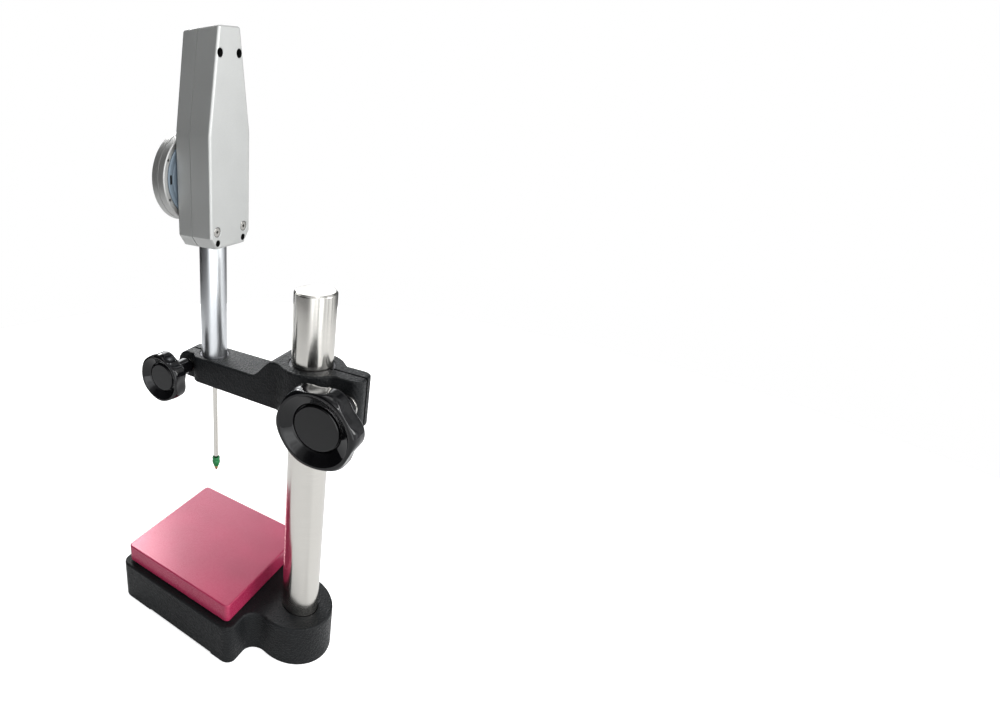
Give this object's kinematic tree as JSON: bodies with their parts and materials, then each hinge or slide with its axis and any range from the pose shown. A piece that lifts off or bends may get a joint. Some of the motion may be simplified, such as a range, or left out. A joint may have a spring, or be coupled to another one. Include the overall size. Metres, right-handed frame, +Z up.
{
  "type": "comparator gauge stand with dial gauge",
  "caption": "Comparator stand: cast base with a red anvil plate, ground column, split clamping arm with lobed knobs and a long-travel dial gauge.",
  "frame": {"origin": "on the table, under the middle of the stand's bounding box; the column's axis stands 47.1 mm behind it (+Y)", "axes": "+Z up the column, the arm reaches towards -Y, the clamp knobs are on the +X side"},
  "size_m": [0.128, 0.2178, 0.488],
  "materials": {
    "black_paint": "fine textured black paint",
    "arm_paint": "fine textured black paint",
    "plate_red": "satin raspberry red, slight sheen",
    "ground_steel": "ground and polished round bar",
    "screw_steel": "bright turned steel",
    "black_steel": "blackened steel",
    "knob_black": "glossy black moulded plastic",
    "satin_chrome": "satin chrome",
    "grey_paint": "light grey fine metallic paint",
    "brass": "turned brass",
    "contact_green": "green moulded sleeve",
    "cover_grey": "blue-grey cover plate",
    "dial_white": "matt white dial",
    "pointer_black": "matt black",
    "crystal": "clear crystal",
    "rubber": "black rubber"
  },
  "bodies": {
    "stand": {"base_casting": "black_paint", "anvil_plate": "plate_red", "column": "ground_steel", "column_washer": "screw_steel", "column_bolt": "black_steel", "plate_screw_1": "black_steel", "plate_screw_2": "black_steel", "plate_screw_3": "black_steel", "plate_screw_4": "black_steel"},
    "column_liner": {"column_bush": "screw_steel"},
    "arm": {"arm_casting": "arm_paint"},
    "column_clamp_seat": {"column_clamp_washer": "screw_steel"},
    "column_clamp_screw": {"column_clamp_knob": "knob_black", "column_clamp_knob_cap": "knob_black", "column_clamp_stud": "screw_steel"},
    "stem_clamp_seat": {"stem_clamp_washer": "screw_steel"},
    "stem_clamp_screw": {"stem_clamp_knob": "knob_black", "stem_clamp_knob_cap": "knob_black", "stem_clamp_stud": "screw_steel"},
    "stem_liner": {"stem_bush": "screw_steel"},
    "gauge": {"front_shell": "grey_paint", "rear_shell": "grey_paint", "stem_sleeve": "satin_chrome", "lower_spindle_bush": "brass", "upper_spindle_bush": "brass", "return_spring": "screw_steel", "spring_pin": "screw_steel", "guide_rod": "screw_steel", "movement_front_plate": "brass", "movement_rear_plate": "brass", "pinion_bridge": "brass", "hairspring": "screw_steel", "dial_hub": "screw_steel", "dial_case": "satin_chrome", "dial_rear_cover": "cover_grey", "dial_centre": "dial_white", "bezel_friction_ring": "rubber", "upper_case_screw_1": "black_steel", "upper_case_screw_2": "black_steel", "lower_case_screw_1": "screw_steel", "lower_case_screw_2": "screw_steel", "dial_case_screw_1": "black_steel", "dial_case_screw_2": "black_steel", "dial_case_screw_3": "black_steel", "dial_case_screw_4": "black_steel"},
    "spindle_unit": {"spindle": "satin_chrome", "spindle_rack": "screw_steel", "guide_arm": "brass", "contact_holder": "contact_green", "contact_tip": "brass"},
    "drive_arbor": {"rack_pinion": "screw_steel", "drive_wheel": "brass"},
    "centre_arbor": {"centre_pinion": "screw_steel", "pointer": "pointer_black"},
    "counter_arbor": {"counter_wheel": "brass", "counter_hand": "pointer_black"},
    "bezel": {"dial_scale_ring": "dial_white", "bezel_ring": "satin_chrome", "crystal": "crystal"}
  },
  "joints": [
    {"name": "arm_height", "type": "slide", "parent": "stand", "child": "column_liner", "axis": [0, 0, 1], "range_m": [-0.077, 0.054]},
    {"name": "arm_swivel", "type": "hinge", "parent": "column_liner", "child": "arm", "pos_m": [0, 0.04711, 0.245], "axis": [0, 0, 1], "continuous": true},
    {"name": "column_clamp_advance", "type": "slide", "parent": "arm", "child": "column_clamp_seat", "axis": [1, 0, 0], "range_m": [0, 0.0015]},
    {"name": "column_clamp_turn", "type": "hinge", "parent": "column_clamp_seat", "child": "column_clamp_screw", "pos_m": [0.03, 0.07961, 0.2454], "axis": [1, 0, 0], "range_deg": [0, 540]},
    {"name": "stem_clamp_advance", "type": "slide", "parent": "arm", "child": "stem_clamp_seat", "axis": [1, 0, 0], "range_m": [0, 0.0012]},
    {"name": "stem_clamp_turn", "type": "hinge", "parent": "stem_clamp_seat", "child": "stem_clamp_screw", "pos_m": [0.03, -0.06239, 0.23765], "axis": [1, 0, 0], "range_deg": [0, 540]},
    {"name": "gauge_swivel", "type": "hinge", "parent": "arm", "child": "stem_liner", "pos_m": [0, -0.04289, 0.24], "axis": [0, 0, 1], "continuous": true},
    {"name": "gauge_lowering", "type": "slide", "parent": "stem_liner", "child": "gauge", "axis": [0, 0, -1], "range_m": [-0.008, 0.075]},
    {"name": "spindle_travel", "type": "slide", "parent": "gauge", "child": "spindle_unit", "axis": [0, 0, 1], "range_m": [0, 0.05], "stiffness_N_per_m": 15, "springref_m": -0.06, "deforming": ["return_spring"]},
    {"name": "drive_arbor_turn", "type": "hinge", "parent": "gauge", "child": "drive_arbor", "pos_m": [-0.0034, -0.04272, 0.37924], "axis": [0.0489, 0.9988, 0], "range_deg": [-1801, 1]},
    {"name": "pointer_turn", "type": "hinge", "parent": "gauge", "child": "centre_arbor", "pos_m": [0, -0.04289, 0.3897], "axis": [0.0489, 0.9988, 0], "range_deg": [-1, 18001]},
    {"name": "counter_turn", "type": "hinge", "parent": "gauge", "child": "counter_arbor", "pos_m": [0, -0.04289, 0.4007], "axis": [0.0489, 0.9988, 0], "range_deg": [-1801, 1]},
    {"name": "bezel_turn", "type": "hinge", "parent": "gauge", "child": "bezel", "pos_m": [0, -0.04289, 0.3897], "axis": [0.0489, 0.9988, 0], "continuous": true}
  ],
  "couplings": [
    {"joint": "column_clamp_advance", "follows": "column_clamp_turn", "m_per_rad": 0.00015915},
    {"joint": "stem_clamp_advance", "follows": "stem_clamp_turn", "m_per_rad": 0.00012732},
    {"joint": "drive_arbor_turn", "follows": "spindle_travel", "rad_per_m": -628.32},
    {"joint": "pointer_turn", "follows": "spindle_travel", "rad_per_m": 6283.2},
    {"joint": "counter_turn", "follows": "spindle_travel", "rad_per_m": -628.32}
  ]
}
